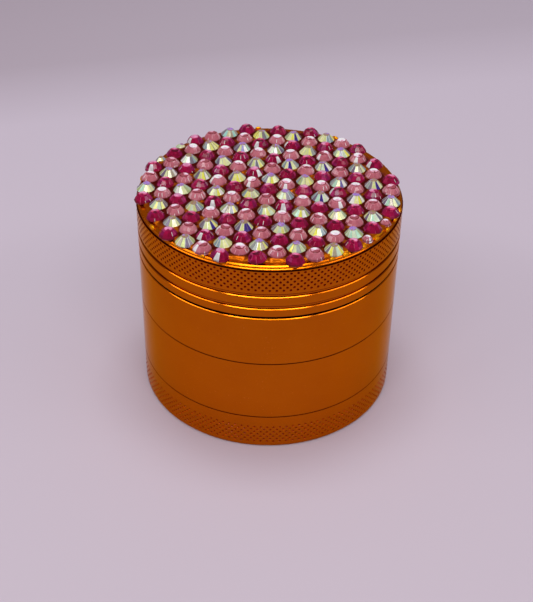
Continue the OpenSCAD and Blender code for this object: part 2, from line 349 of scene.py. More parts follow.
def finish(bm, name, rides, nodes, materials, sharp=12, smooth=True):
    # closes the seams, turns the faces outwards, hangs the piece on its body and hides the CAD nodes that
    # it stands in for; sharp is in degrees
    bmesh.ops.remove_doubles(bm, verts=bm.verts[:], dist=weld)
    bmesh.ops.recalc_face_normals(bm, faces=bm.faces[:])
    mesh = bpy.data.meshes.new(name)
    bm.to_mesh(mesh)
    bm.free()
    if smooth:
        mesh.shade_smooth()
        mesh.set_sharp_from_angle(angle=math.radians(sharp))
    for material in materials:
        mesh.materials.append(material)
    piece = bpy.data.objects.new(name, mesh)
    scene.collection.objects.link(piece)
    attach(piece, rides)
    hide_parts(*nodes)
    print(name, len(mesh.polygons), "faces")


stage = {
    "eye": (0.0, -0.2319, 0.1941),
    "down": 36.84,           # degrees below the horizon
    "aside": -0.08,
    "roll": 0.95,
    "focalPixels": 1144.3,
    "tall": 602,             # pixels
    "halfSheet": 3.0,        # half the width of the sheet of paper, in metres
    "room": (0.36, 0.317, 0.352, 1),
    # name, place, width, depth, tilt in degrees, power in watts
    "lamps": (
        ("frontSoftbox", (0.0, -0.37, 0.53), 0.60, 0.045, 0, 1.25),
        ("overheadSoftbox", (0.0, 0.09, 0.70), 0.30, 0.18, 0, 1.20),
        ("leftStrip", (-0.422, -0.154, 0.398), 0.36, 0.06, 25, 0.38),
        ("rightStrip", (0.422, -0.154, 0.398), 0.36, 0.06, -25, 0.30),
    ),
    "aim": (0, 0, 0.045),
}
paper = {
    "floor": (0.592, 0.525, 0.592),
    "farFloorLit": (0.665, 0.60, 0.69),
    "recede": 300,           # millimetres over which the floor takes its far colour, a painted light
    "clouds": 0.3,           # unevenness of that change
    "backShadeLeft": (0.490, 0.425, 0.485),
    "backShadeRight": (0.60, 0.54, 0.62),
    "backWidth": 400,        # from the one to the other
    "foldLeft": 150,         # how far behind the grinder the painted shade darkens the sheet
    "foldRight": 200,
    "foldWidth": 200,        # from the one to the other
    "fade": 50,
}


def makeCamera():
    data = bpy.data.cameras.new("camera")
    data.lens = stage["focalPixels"] * data.sensor_width / stage["tall"]
    data.clip_start = 0.01
    camera = bpy.data.objects.new("camera", data)
    scene.collection.objects.link(camera)
    camera.matrix_world = (
        Matrix.Translation(stage["eye"])
        @ Matrix.Rotation(math.radians(-stage["aside"]), 4, "Z")
        @ Matrix.Rotation(math.radians(90 - stage["down"]), 4, "X")
        @ Matrix.Rotation(math.radians(stage["roll"]), 4, "Z")
    )
    scene.camera = camera


def makeLamp(name, place, width, depth, tilt, power):
    data = bpy.data.lights.new(name, "AREA")
    data.shape = "RECTANGLE"
    data.size, data.size_y = width, depth
    data.energy = power
    lamp = bpy.data.objects.new(name, data)
    scene.collection.objects.link(lamp)
    facing = (Vector(stage["aim"]) - Vector(place)).to_track_quat("-Z", "Y").to_matrix().to_4x4()
    lamp.matrix_world = Matrix.Translation(place) @ facing @ Matrix.Rotation(math.radians(tilt), 4, "Z")


def makeStage():
    # one sheet of paper with painted light and shade, which grows a little darker behind the grinder, and
    # the lamps
    material, surface, flow = newMaterial("backdropPaper", {"Roughness": 0.75, "Specular IOR Level": 0.2})
    place = placeOf(flow)
    x, y = axesOf(flow, place)[:2]
    # painted shade: the sheet darker behind the fold, and darker on the left than on the right; painted
    # light: the floor lighter away from the camera
    left, right = paper["foldLeft"], paper["foldRight"]
    fold = x * ((right - left) / paper["foldWidth"]) + (left + right) / 2
    behind = ((y - fold) / paper["fade"] + 0.5).clamped()
    clouds = (noise(flow, place, 0.006, 2.0, 0.5) - 0.5) * paper["clouds"]
    distance = (y / paper["recede"] + 0.45 + clouds).clamped()
    front = mixColours(flow, distance, paper["floor"], paper["farFloorLit"])
    across = (x / paper["backWidth"] + 0.5).clamped()
    back = mixColours(flow, across, paper["backShadeLeft"], paper["backShadeRight"])
    feed(surface, flow, Base_Color=mixColours(flow, behind, front, back))
    bm = bmesh.new()
    bmesh.ops.create_grid(bm, x_segments=2, y_segments=2, size=stage["halfSheet"])
    mesh = bpy.data.meshes.new("floor")
    bm.to_mesh(mesh)
    bm.free()
    mesh.materials.append(material)
    floor = bpy.data.objects.new("floor", mesh)
    scene.collection.objects.link(floor)

    world = bpy.data.worlds.new("studio")
    scene.world = world
    world.use_nodes = True
    sky = world.node_tree.nodes["Background"]
    sky.inputs["Color"].default_value = stage["room"]
    sky.inputs["Strength"].default_value = 1.0
    for lamp in stage["lamps"]:
        makeLamp(*lamp)
    scene.view_settings.view_transform = "Standard"


base = {
    "floor": 1.8,
    "bowlCorner": 2.4,
}


def socketCorners(top):
    # outer edge of a piece, its seat, and the recess that the next one screws into
    floor = top - body["socketDepth"]
    return [
        (body["radius"], top, body["softEdge"]), (body["radius"] - body["seamLip"], top),
        (body["socketRoot"], top, 0.3), (body["socketRoot"], floor, 0.1), (body["bore"], floor, 0.15),
    ]


def spigotCorners(end, seat):
    # the threaded end of a piece, and the bevel under its seam
    return [
        (body["bore"], end, 0.15), (body["threadRoot"], end, 0.3), (body["threadRoot"], seat, 0.08),
        (body["radius"] - body["seam"], seat, body["softEdge"]),
        (body["radius"], seat + body["seam"], body["softEdge"]),
    ]


def finishSocket(bm, top):
    shadeBand(bm, body["radius"] - body["seamLip"], body["radius"], top - hair, top + hair)
    socketThread(bm, top)


def makeBase(materials):
    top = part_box("collection_base")[1].z / mm
    bm = bmesh.new()
    spinWire(bm, [
        (0, 0), (body["radius"], 0, body["foot"]), *knurlRows(*knurl["base"]), *socketCorners(top),
        (body["bore"], base["floor"], base["bowlCorner"]), (0, base["floor"]),
    ])
    cutPits(bm, *knurl["base"])
    finishSocket(bm, top)
    finish(bm, "collectionBase", "base", ["collection_base"], materials)


sieve = {
    "ledge": 2.0,           # width of the ledge over the screen
    "ledgeHeight": 1.2,
    "slopeHeight": 3.2,     # how far over the screen the ledge's slope meets the wall
}


def makeSieveChamber(materials):
    low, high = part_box("sieve_chamber")
    end, top = low.z / mm, high.z / mm
    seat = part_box("collection_base")[1].z / mm
    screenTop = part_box("sieve_screen")[1].z / mm
    ledge = body["bore"] - sieve["ledge"]
    bm = bmesh.new()
    spinWire(bm, [
        *spigotCorners(end, seat), *socketCorners(top),
        (body["bore"], screenTop + sieve["slopeHeight"], 0.3),
        (ledge, screenTop + sieve["ledgeHeight"], 0.15), (ledge, screenTop, 0.1), (body["bore"], screenTop),
    ], closed=True)
    spigotThread(bm, end)
    finishSocket(bm, top)
    finish(bm, "sieveChamber", "sieve_chamber", ["sieve_chamber"], materials)


def islandCentres(node):
    # where each separate solid of a CAD node stands, seen from above
    bm = bmesh.new()
    bm.from_mesh(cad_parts[node].data)
    bmesh.ops.remove_doubles(bm, verts=bm.verts[:], dist=weld)
    waiting, centres = set(bm.verts), []
    while waiting:
        reached = [waiting.pop()]
        for v in reached:
            near = {e.other_vert(v) for e in v.link_edges} & waiting
            waiting -= near
            reached.extend(near)
        spread = [(min(axis) + max(axis)) / 2 for axis in zip(*(v.co for v in reached))]
        centres.append(Vector(spread[:2]))
    bm.free()
    return sorted(centres, key=lambda c: (round(c.x, 5), round(c.y, 5)))


chamber = {
    "cupRadius": 26.4,
    "lip": 0.7,
    "collarRadius": 29.0,
    "postRadius": 6.5,
    "postFoot": 0.5,          # how far the post widens at the floor
    "pocketRadius": 5.05,
    "holeRadius": 1.9,
    "holeBevel": 0.15,
    "floorRim": 26.6,         # under the floor, outside the holes
    "holeRings": ((24.2, 23), (16.8, 16), (9.4, 9)),     # radius, and number of holes
    "holeSteps": 24,
    "floorTop": 33.5,
    "floorUnder": 31.0,
    "shoulder": 38.85,
    "shoulderBevel": 0.17,
    "magnetHeight": 3.0,
}


def fillLevel(bm, level):
    # closes everything that is still open at one height, round the holes
    rims = [
        e for e in bm.edges
        if e.is_boundary and all(abs(v.co.z / mm - level) < hair for v in e.verts)
    ]
    bmesh.ops.triangle_fill(bm, use_beauty=True, use_dissolve=False, edges=rims, normal=(0, 0, 1))


def makeGrindingChamber(materials):
    low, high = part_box("grinding_chamber")
    end, lipTop = low.z / mm, high.z / mm
    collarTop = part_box("slip_ring")[0].z / mm
    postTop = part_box("chamber_magnet")[1].z / mm
    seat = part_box("sieve_chamber")[1].z / mm
    outer, c, bevel = body["radius"], chamber, chamber["shoulderBevel"]
    bm = bmesh.new()
    spinWire(bm, [
        (c["cupRadius"], c["floorTop"]), (c["cupRadius"], lipTop, 0.1),
        (c["cupRadius"] + c["lip"], lipTop, 0.1), (c["cupRadius"] + c["lip"], collarTop, 0.05),
        (c["collarRadius"], collarTop, 0.15), (c["collarRadius"], c["shoulder"], 0.1),
        (outer - bevel, c["shoulder"], body["softEdge"]), (outer, c["shoulder"] - bevel, body["softEdge"]),
        *spigotCorners(end, seat)[::-1],
        (body["bore"], c["floorUnder"], 0.25), (c["floorRim"], c["floorUnder"]),
    ])
    spinWire(bm, [
        (c["postRadius"] + c["postFoot"], c["floorTop"]), (c["postRadius"], c["floorTop"], 0.35),
        (c["postRadius"], postTop, 0.3), (c["pocketRadius"], postTop, 0.08),
        (c["pocketRadius"], postTop - c["magnetHeight"]), (0, postTop - c["magnetHeight"]),
    ])
    rim, hole = c["holeRadius"] + c["holeBevel"], c["holeRadius"]
    spinWire(bm, [
        (rim, c["floorTop"]), (hole, c["floorTop"] - c["holeBevel"]),
        (hole, c["floorUnder"] + c["holeBevel"]), (rim, c["floorUnder"]),
    ], steps=c["holeSteps"], places=[
        (radius * math.cos(k * turn / count), radius * math.sin(k * turn / count))
        for radius, count in c["holeRings"] for k in range(count)
    ])
    bmesh.ops.remove_doubles(bm, verts=bm.verts[:], dist=weld)
    fillLevel(bm, c["floorTop"])
    fillLevel(bm, c["floorUnder"])
    spigotThread(bm, end)
    finish(bm, "grindingChamber", "grinding_chamber", ["grinding_chamber"], materials)


lidShape = {
    "edgeBevel": 0.2,
    "crisp": 0.02,                 # rounding of the edges that the tool has left sharp
    "grooves": (41.40, 44.65),     # feet of the two bevels
    "grooveBevel": 0.17,
    "grooveDepth": 0.40,
    "grooveFloor": 0.92,
    "litFloor": 0.46,              # height up to which light reaches a groove's floor
    "rimLine": (30.85, 51.62, 51.84),    # floor and edges of the fine groove over the knurled band
    "rimSteps": ((31.19, 52.05), (31.04, 52.2), (31.04, 52.64), (30.78, 52.9)),
    "shaded": 1.0,                 # depth within which the grooves' floors are looked for
    "skirtRadius": 29.3,
    "bossRadius": 6.5,
    "ceiling": 49.5,
}


def makeLid(materials):
    low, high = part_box("lid")
    under, top = low.z / mm, high.z / mm
    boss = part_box("lid_magnet")[0].z / mm
    outer, s, edge = body["radius"], lidShape, body["softEdge"]
    depth, bevel, crisp = s["grooveDepth"], s["grooveBevel"], s["crisp"]
    grooves, bands = [], []
    for z in s["grooves"]:
        ledge = z + bevel
        lip = ledge + s["grooveFloor"]
        lit = ledge + s["litFloor"]
        grooves += [
            (outer, z, edge), (outer - bevel, ledge, crisp), (outer - depth, ledge),
            (outer - depth, lit), (outer - depth, lip), (outer, lip, crisp),
        ]
        bands += [(outer - bevel, ledge - hair, ledge + hair), (outer - edge, lit, lip + hair)]
    lineFloor, lineFoot, lineTop = s["rimLine"]
    bands.append((outer - hair, lineFoot - hair, lineTop + hair))
    pocket, pocketTop = chamber["pocketRadius"], boss + chamber["magnetHeight"]
    bm = bmesh.new()
    spinWire(bm, [
        (0, pocketTop), (pocket, pocketTop), (pocket, boss, 0.08),
        (s["bossRadius"], boss, 0.3), (s["bossRadius"], s["ceiling"], 0.4),
        (s["skirtRadius"], s["ceiling"], 0.25), (s["skirtRadius"], under, 0.3),
        (outer - s["edgeBevel"], under, crisp), (outer, under + s["edgeBevel"], crisp), *grooves,
        *knurlRows(*knurl["lid"]),
        (outer, lineFoot), (lineFloor, lineFoot), (lineFloor, lineTop), (s["rimSteps"][0][0], lineTop),
        *[(*corner, crisp) for corner in s["rimSteps"]], (0, top),
    ])
    cutPits(bm, *knurl["lid"])
    for far, floor, lip in bands:
        shadeBand(bm, outer - s["shaded"], far, floor, lip)
    finish(bm, "lidShell", "lid", ["lid"], materials)


tooth = {
    "width": 3.0,
    "length": 5.0,
    "edge": 0.22,
}


def makeTeeth(name, node, rides, material, hanging=False):
    low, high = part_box(node)
    root = high.z if hanging else low.z
    bm = bmesh.new()
    for place in islandCentres(node):
        made = bmesh.ops.create_circle(bm, cap_ends=True, segments=4, radius=0.5)["verts"]
        flat = list(dict.fromkeys(f for v in made for f in v.link_faces))
        grown = bmesh.ops.extrude_face_region(bm, geom=flat)["geom"]
        upper = [g for g in grown if isinstance(g, bmesh.types.BMVert)]
        whole = made + upper
        bmesh.ops.translate(bm, verts=upper, vec=(0, 0, 1))
        bmesh.ops.scale(bm, verts=whole, vec=(tooth["width"] * mm, tooth["length"] * mm, high.z - low.z))
        bmesh.ops.rotate(bm, verts=whole, matrix=Matrix.Rotation(math.atan2(place.y, place.x), 3, "Z"))
        bmesh.ops.translate(bm, verts=whole, vec=(place.x, place.y, low.z))
        worn = [
            e for e in dict.fromkeys(e for v in whole for e in v.link_edges)
            if not all(abs(v.co.z - root) < hair * mm for v in e.verts)
        ]
        bmesh.ops.bevel(
            bm, geom=worn, offset=tooth["edge"] * mm, segments=2, profile=0.5,
            affect="EDGES", material=-1, clamp_overlap=True,
        )
    finish(bm, name, rides, [node], [material], sharp=35)


plain = {
    # colour, tool marks in a millimetre, roughness, metallic
    "nickelPlate": ((0.62, 0.60, 0.57), 5.0, 0.18, 1.0),
    "turnedSteel": ((0.55, 0.55, 0.56), 8.0, 0.3, 1.0),
    "slipPlastic": ((0.78, 0.76, 0.71), 4.0, 0.45, 0.0),
    "scraperPlastic": ((0.035, 0.035, 0.038), 3.0, 0.42, 0.0),
}


def makePlain(name):
    # metals and plastics with a fine tool finish
    shade, marks, rough, metallic = plain[name]
    material, surface, flow = newMaterial(name, {"Metallic": metallic})
    place = placeOf(flow)
    fine = noise(flow, latheRings(flow, place), marks, 3.0, 0.7)
    broad = noise(flow, place, 0.3, 3.0, 0.6)
    darker = tuple(c * 0.8 for c in shade)
    colour = mixColours(flow, (broad * 0.6 + fine * 0.4).clamped(), darker, shade)
    rough = (rough + (broad - 0.5) * 0.2).clamped()
    feed(surface, flow, Base_Color=colour, Roughness=rough, Normal=relief(flow, fine, 0.02, 0.2))
    return material


roundParts = {
    # name: node, body, slot, finish, inner and outer radius, rounding
    "chamberMagnet": ("chamber_magnet", "chamber_magnet", "magnet_nickel", "nickelPlate", 0, 5.0, 0.3),
    "lidMagnet": ("lid_magnet", "lid_magnet", "magnet_nickel", "nickelPlate", 0, 5.0, 0.3),
    "slipRing": ("slip_ring", "grinding_chamber", "slip_plastic", "slipPlastic", 27.15, 28.95, 0.2),
    "screenClampRing": ("screen_clamp_ring", "screen_ring", "clamp_steel", "turnedSteel", 25.3, 27.0, 0.2),
}
discSteps = 128


def makeDiscOrRing(name, node, rides, slot, material, inner, outer, rounding):
    low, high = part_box(node)
    bottom, top = low.z / mm, high.z / mm
    bm = bmesh.new()
    if inner:
        corners = [(inner, bottom), (outer, bottom), (outer, top), (inner, top)]
        spinWire(bm, [(*c, rounding) for c in corners], closed=True)
    else:
        wire = [(0, bottom), (outer, bottom, rounding), (outer, top, rounding), (0, top)]
        spinWire(bm, wire, steps=discSteps)
    finish(bm, name, rides, [node], [material])


scraper = {
    "width": 24.0,        # between a corner and the arc across from it
    "tip": 12.4,          # radius to which the corners are cut back
    "blade": 0.45,        # bevels of the scraping edge
    "margin": 1.35,       # flat strip between the edge and the hollow
    "slope": 1.6,         # width of the hollow's sides
    "dish": 0.25,         # depth of the thumb's hollow on top
    "steps": 144,
}


def scraperReach(angle):
    # from the middle to the outline: three arcs, each drawn about the corner across from it
    away = scraper["width"] / math.sqrt(3)
    arcs = []
    for k in range(3):
        off = angle - k * turn / 3
        arcs.append(away * math.cos(off) + math.sqrt(scraper["width"] ** 2 - (away * math.sin(off)) ** 2))
    return min(*arcs, scraper["tip"])


def makeScraper(material):
    low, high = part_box("scraper")
    bm = bmesh.new()
    made = bmesh.ops.create_circle(bm, cap_ends=True, segments=scraper["steps"], radius=mm)["verts"]
    for v in made:
        v.co *= scraperReach(math.atan2(v.co.y, v.co.x))
    bmesh.ops.translate(bm, verts=made, vec=(0, 0, low.z))
    grown = bmesh.ops.extrude_face_region(bm, geom=bm.faces[:], use_keep_orig=True)["geom"]
    upper = [g for g in grown if isinstance(g, bmesh.types.BMVert)]
    bmesh.ops.translate(bm, verts=upper, vec=(0, 0, high.z - low.z))
    top = [g for g in grown if isinstance(g, bmesh.types.BMFace)]
    bmesh.ops.inset_region(bm, faces=top, thickness=scraper["margin"] * mm, depth=0)
    bmesh.ops.inset_region(bm, faces=top, thickness=scraper["slope"] * mm, depth=-scraper["dish"] * mm)
    rim = [
        e for e in bm.edges
        if all(abs(v.co.z - high.z) < hair * mm for v in e.verts)
        and any(abs(f.normal.z) < 0.5 for f in e.link_faces)
    ]
    bmesh.ops.bevel(
        bm, geom=rim, offset=scraper["blade"] * mm, segments=2, profile=0.5,
        affect="EDGES", material=-1, clamp_overlap=True,
    )
    finish(bm, "scraperPlate", "scraper", ["scraper"], [material], sharp=35)


weave = {
    "pitch": 0.40,        # from wire to wire
    "wire": 0.62,         # share of the pitch that a wire takes
    "height": 0.08,
    "steel": (0.56, 0.55, 0.53),
    "shadow": (0.10, 0.10, 0.10),
    "rounding": 0.05,     # of the screen's edge
}


def makeWeave():
    # plain woven wire: each wire passes over one that crosses it and under the next
    material, surface, flow = newMaterial("wovenSteel", {"Metallic": 1.0})
    x, y = axesOf(flow, placeOf(flow))[:2]
    across, along = x * (1 / weave["pitch"]), y * (1 / weave["pitch"])

    def strands(first, second):
        # height and roundness of the wires that lie side by side along first
        off = flow.calc("ABSOLUTE", flow.calc("FRACT", first) - 0.5) * (2 / weave["wire"])
        roundness = flow.calc("SQRT", (1.0 - off * off).clamped())
        row = flow.calc("FLOOR", first)
        swing = flow.calc("SINE", (second + row) * math.pi) * 0.5
        return roundness * (swing + 1.0), roundness

    overX, wireX = strands(across, along)
    overY, wireY = strands(along, across + 1.0)
    height = flow.calc("MAXIMUM", overX, overY)
    solid = (flow.calc("MAXIMUM", wireX, wireY) * 8.0).clamped()
    shade = (height * 0.7 + 0.15).clamped()
    colour = mixColours(flow, shade, weave["shadow"], weave["steel"])
    bump = relief(flow, height, weave["height"], 0.6)
    feed(surface, flow, Base_Color=colour, Roughness=0.42 - shade * 0.14, Alpha=solid, Normal=bump)
    return material


cuts = {
    # rings: radius, height and part, which names the facets below that ring
    # tilt: how far it leans, in degrees; swell: how much wider than drawn
    # order: how far the painted highlights on the table's wedges follow the light; sheen: how bright the
    # top's painted reflection is
    # flashes: share of the crystals that have one tall facet painted white, a painted glint
    "aurora": {
        "facets": 12, "tilt": 3.0, "swell": 1.045, "order": 0.0, "sheen": (-0.55, 0.45), "flashes": 0.0,
        "rings": (
            (2.14, 0.0, None), (2.22, 0.24, "foot"), (0.86, 1.78, "crown"), (0.68, 1.90, "star"),
        ),
    },
    "rose": {
        "facets": 12, "tilt": 2.5, "swell": 1.02, "order": 0.75, "sheen": (-0.55, 0.40), "flashes": 0.28,
        "rings": (
            (2.06, 0.0, None), (2.18, 0.24, "foot"), (1.86, 0.88, "crown"), (1.36, 1.56, "crown"),
            (1.10, 1.76, "crown"), (0.92, 1.84, "star"),
        ),
    },
    "fuchsia": {
        "facets": 10, "tilt": 3.5, "swell": 1.03, "order": 0.75, "sheen": (-0.25, 0.60), "flashes": 0.28,
        "rings": (
            (2.02, 0.0, None), (2.16, 0.26, "foot"), (1.82, 0.90, "crown"), (1.28, 1.62, "crown"),
            (0.98, 1.80, "crown"), (0.84, 1.88, "star"),
        ),
    },
}
setting = {
    "gather": Vector((0.99, 0.99, 1)),     # the glue has drawn them together a little
    "drift": 0.06,
    "sizes": (0.985, 1.015),
    "sunk": 0.02,
    "brightSide": (math.pi / 2, 0.45),     # painted light: the side from which the foil throws the light back, and its spread
    "sideBelow": 0.60,                     # facets that face across the light take the side colours, painted light and shade
    "heartAbove": 0.95,                    # facets that face it or turn their back to it take the heart colours, painted light and shade
    "mood": 0.6,                           # how far the other tall facets keep to one shade
    "starOrder": 0.8,                      # how far the small ones round the table follow the painted light
    # how much the crystal's painted sheen brightens the small ones round the table
    "starSheen": 0.5,
    "tallEdge": 0.3,                       # shortest rise of an edge that wear has touched
    "wear": 0.065,
}
shareOfRange = 1 / 7
partStart = {
    part: k * shareOfRange
    for k, part in enumerate(("foot", "heart", "crown", "side", "star", "table", "edge"))
}


def facetOf(part, luck):
    # a facet's number lies well inside the share of the range that its part has
    return partStart[part] + (0.04 + 0.92 * min(1.0, max(0.0, luck))) * shareOfRange


def addCrystal(bm, layer, cut, place, foot, size, dice):
    # the base outline is drawn up ring by ring, and every facet is given its own number
    known, rings = set(bm.verts), cut["rings"]
    scale = size * cut["swell"] * dice.uniform(*setting["sizes"])
    made = bmesh.ops.create_circle(
        bm, cap_ends=True, segments=cut["facets"], radius=rings[0][0] * scale * mm,
    )["verts"]
    face = made[0].link_faces[0]
    spin = dice.uniform(0, turn)
    bright = dice.gauss(*setting["brightSide"])
    sheen = dice.uniform(*cut["sheen"])
    mood = dice.random()
    flash = dice.uniform(0, turn) if dice.random() < cut["flashes"] else None

    def headingOf(facet):
        middle = facet.calc_center_median()
        return math.atan2(middle.y, middle.x) + spin

    for (wasRadius, wasHeight, _), (radius, height, part) in zip(rings, rings[1:]):
        grown = bmesh.ops.extrude_face_region(bm, geom=[face], use_keep_orig=wasHeight == 0)["geom"]
        upper = [g for g in grown if isinstance(g, bmesh.types.BMVert)]
        face = next(g for g in grown if isinstance(g, bmesh.types.BMFace))
        bmesh.ops.scale(bm, verts=upper, vec=(radius / wasRadius, radius / wasRadius, 1))
        bmesh.ops.translate(bm, verts=upper, vec=(0, 0, (height - wasHeight) * size * mm))
        # each facet's number paints in the light: by how the facet faces the bright side, and by chance
        for side in dict.fromkeys(f for v in upper for f in v.link_faces if f != face):
            heading = headingOf(side)
            facing = math.cos(heading - bright)
            off = abs((heading - flash + math.pi) % turn - math.pi) if flash is not None else turn
            luck, kind = dice.random(), part
            if part == "star":
                order = setting["starOrder"]
                luck = (facing + 1) / 2 * order + luck * (1 - order) + sheen * setting["starSheen"]
            elif part == "crown" and abs(facing) < setting["sideBelow"]:
                kind = "side"
            elif part == "crown" and abs(facing) > setting["heartAbove"]:
                kind = "heart"
            else:
                luck = mood * setting["mood"] + luck * (1 - setting["mood"])
            # the tall facet that faces the flash is painted white, a painted glint
            if part == "crown" and off < turn / cut["facets"] / 2:
                kind, luck = "edge", 1.0
            side[layer] = facetOf(kind, luck)
    # the table shows the foil below it in wedges, with painted light and shade that follow the light
    for wedge in bmesh.ops.poke(bm, faces=[face])["faces"]:
        facing = math.cos(headingOf(wedge) - bright)
        luck = (facing + 1) / 2 * cut["order"] + dice.random() * (1 - cut["order"]) + sheen
        wedge[layer] = facetOf("table", luck)
    whole = [v for v in bm.verts if v not in known]
    lean = Matrix.Rotation(math.radians(dice.gauss(0, cut["tilt"])), 3, "X")
    lean = lean @ Matrix.Rotation(math.radians(dice.gauss(0, cut["tilt"])), 3, "Y")
    bmesh.ops.rotate(bm, verts=whole, matrix=lean @ Matrix.Rotation(spin, 3, "Z"))
    drift = Vector((dice.gauss(0, setting["drift"]), dice.gauss(0, setting["drift"]), 0)) * mm
    stand = Vector((place.x, place.y, foot)) * setting["gather"]
    bmesh.ops.translate(bm, verts=whole, vec=stand + drift)


def makeCrystals(name, node, cut, size, material, seed):
    dice = random.Random(seed)
    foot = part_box(node)[0].z - setting["sunk"] * mm
    bm = bmesh.new()
    layer = bm.faces.layers.float.new("facet")
    for place in islandCentres(node):
        addCrystal(bm, layer, cut, place, foot, size, dice)
    # the edges between the tall facets are a little worn, and some of them are painted as glints that catch
    # the light
    ridges = [
        e for e in bm.edges
        if abs(e.verts[0].co.z - e.verts[1].co.z) > setting["tallEdge"] * size * mm
        and all(partStart["heart"] <= f[layer] < partStart["star"] for f in e.link_faces)
    ]
    worn = bmesh.ops.bevel(
        bm, geom=ridges, offset=setting["wear"] * size * mm, segments=1, profile=0.5,
        affect="EDGES", material=-1, clamp_overlap=True,
    )["faces"]
    # the bevel hands its faces back in no fixed order, so they draw their numbers by their places
    for face in sorted(worn, key=lambda f: f.calc_center_median()[:]):
        face[layer] = facetOf("edge", dice.random())
    finish(bm, name, "lid", [node], [material], smooth=False)


def palette(**shades):
    # stops of a colour ramp: each part of a crystal has its own share of the range
    stops = []
    for part, colours in shades.items():
        start, step = partStart[part], shareOfRange / len(colours)
        stops += [(start + step * k, colour) for k, colour in enumerate(colours)]
    return stops


glass = {
    # shadeHeight: height up to which a painted shade darkens it where it sinks into the glue
    # blotch and grain: strength and fineness of the patches in the foil
    # the heart, side, star, table and edge colours hold painted light, shade and glints
    "aurora": {
        "stops": palette(
            foot=[(0.382, 0.212, 0.127)],
            heart=[
                (0.212, 0.223, 0.265), (0.96, 0.97, 0.14), (0.466, 0.41, 0.28), (0.92, 0.95, 0.42),
                (0.060, 0.030, 0.260), (0.72, 0.92, 0.64), (0.68, 0.68, 0.38),
            ],
            crown=[
                (0.96, 0.97, 0.14), (0.92, 0.95, 0.27), (0.75, 0.84, 0.34), (0.88, 0.97, 0.50),
                (0.96, 0.98, 0.88), (0.55, 0.92, 0.66), (0.42, 0.86, 0.74),
            ],
            side=[
                (0.40, 0.46, 0.40), (0.265, 0.233, 0.275), (0.46, 0.57, 0.25), (0.32, 0.45, 0.47),
                (0.201, 0.159, 0.244), (0.56, 0.76, 0.46),
            ],
            star=[(0.38, 0.28, 0.16), (0.435, 0.35, 0.594), (0.551, 0.445, 0.784)],
            table=[(0.40, 0.27, 0.13), (0.44, 0.26, 0.30), (0.498, 0.318, 0.678), (0.424, 0.212, 0.763)],
            edge=[(0.562, 0.625, 0.551), (0.88, 0.88, 0.594), (0.201, 0.159, 0.212), (0.98, 0.98, 0.98)],
        ),
        "metal": 0.05, "blotch": 0.16, "grain": 1.3, "gloss": 0.3, "shadeHeight": 0.40,
    },
    "rose": {
        "stops": palette(
            foot=[(0.514, 0.066, 0.034)],
            heart=[(0.528, 0.141, 0.183), (0.584, 0.173, 0.223)],
            crown=[(0.555, 0.148, 0.188), (0.611, 0.18, 0.229), (0.639, 0.205, 0.247)],
            side=[(0.50, 0.128, 0.171), (0.639, 0.218, 0.275), (0.805, 0.398, 0.444)],
            star=[
                (0.181, 0.014, 0.019), (0.306, 0.037, 0.046), (0.639, 0.205, 0.262),
                (0.98, 0.743, 0.861), (0.98, 0.98, 0.98),
            ],
            table=[
                (0.389, 0.078, 0.105), (0.861, 0.423, 0.548), (0.98, 0.77, 0.915), (0.98, 0.973, 0.98),
                (0.98, 0.98, 0.98),
            ],
            edge=[(0.596, 0.168, 0.209)] * 4 + [(0.861, 0.423, 0.485), (0.98, 0.98, 0.98)],
        ),
        "metal": 0.0, "blotch": 0.12, "grain": 2.2, "gloss": 0.2, "shadeHeight": 0.66,
    },
    "fuchsia": {
        "stops": palette(
            foot=[(0.309, 0.05, 0.082)],
            heart=[(0.345, 0.001, 0.047), (0.425, 0.003, 0.062)],
            crown=[
                (0.385, 0.001, 0.052), (0.312, 0.001, 0.042), (0.455, 0.005, 0.079), (0.515, 0.025, 0.108),
            ],
            side=[(0.252, 0.001, 0.045), (0.325, 0.007, 0.103), (0.504, 0.037, 0.168)],
            star=[
                (0.124, 0.001, 0.015), (0.412, 0.006, 0.082), (0.68, 0.03, 0.165),
                (0.978, 0.15, 0.34), (0.98, 0.45, 0.721),
            ],
            table=[
                (0.148, 0.001, 0.026), (0.385, 0.005, 0.077), (0.888, 0.075, 0.206), (0.98, 0.275, 0.515),
                (0.98, 0.425, 0.67),
            ],
            edge=[(0.385, 0.005, 0.064)] * 4 + [
                (0.665, 0.088, 0.194), (0.325, 0.003, 0.038), (0.98, 0.98, 0.98),
            ],
        ),
        "metal": 0.0, "blotch": 0.35, "grain": 1.1, "gloss": 0.15, "shadeHeight": 0.60,
    },
}


def makeGlass(name, look, foot):
    # a polished, foil-backed crystal; each facet shows another patch of the foil, with painted light, shade
    # and glints in its colour
    material, surface, flow = newMaterial(name, {
        "Roughness": 0.10, "Coat Weight": look["gloss"], "Coat Roughness": 0.02, "Coat IOR": 1.55,
        "Specular IOR Level": 0.1, "Metallic": look["metal"],
    })
    place = placeOf(flow)
    facet = flow.node("ShaderNodeAttribute", {"attribute_name": "facet"}, output=2)
    ramp = {"interpolation": "CONSTANT", "stops": look["stops"]}
    tint = flow.node("ShaderNodeValToRGB", ramp, {0: facet})
    patches = flow.node("ShaderNodeTexVoronoi", None, {"Vector": place, "Scale": look["grain"]})
    tint = mixColours(flow, (patches * 1.6).clamped() * look["blotch"], tint, (0, 0, 0))
    # painted shade, dark red, where it sinks into the glue, but not on the very edge of its foot
    rise = axesOf(flow, place)[2] - foot
    low = ((look["shadeHeight"] - rise) * 3.0).clamped() * ((rise - 0.2) * 9.0).clamped() * 0.8
    tint = mixColours(flow, low, tint, (0.10, 0.008, 0.008))
    speckle = noise(flow, place, 5.0, 2.0, 0.6)
    tint = mixColours(flow, ((speckle - 0.5) * 1.6).clamped() * 0.5, tint, (0, 0, 0))
    feed(surface, flow, Base_Color=tint)
    return material


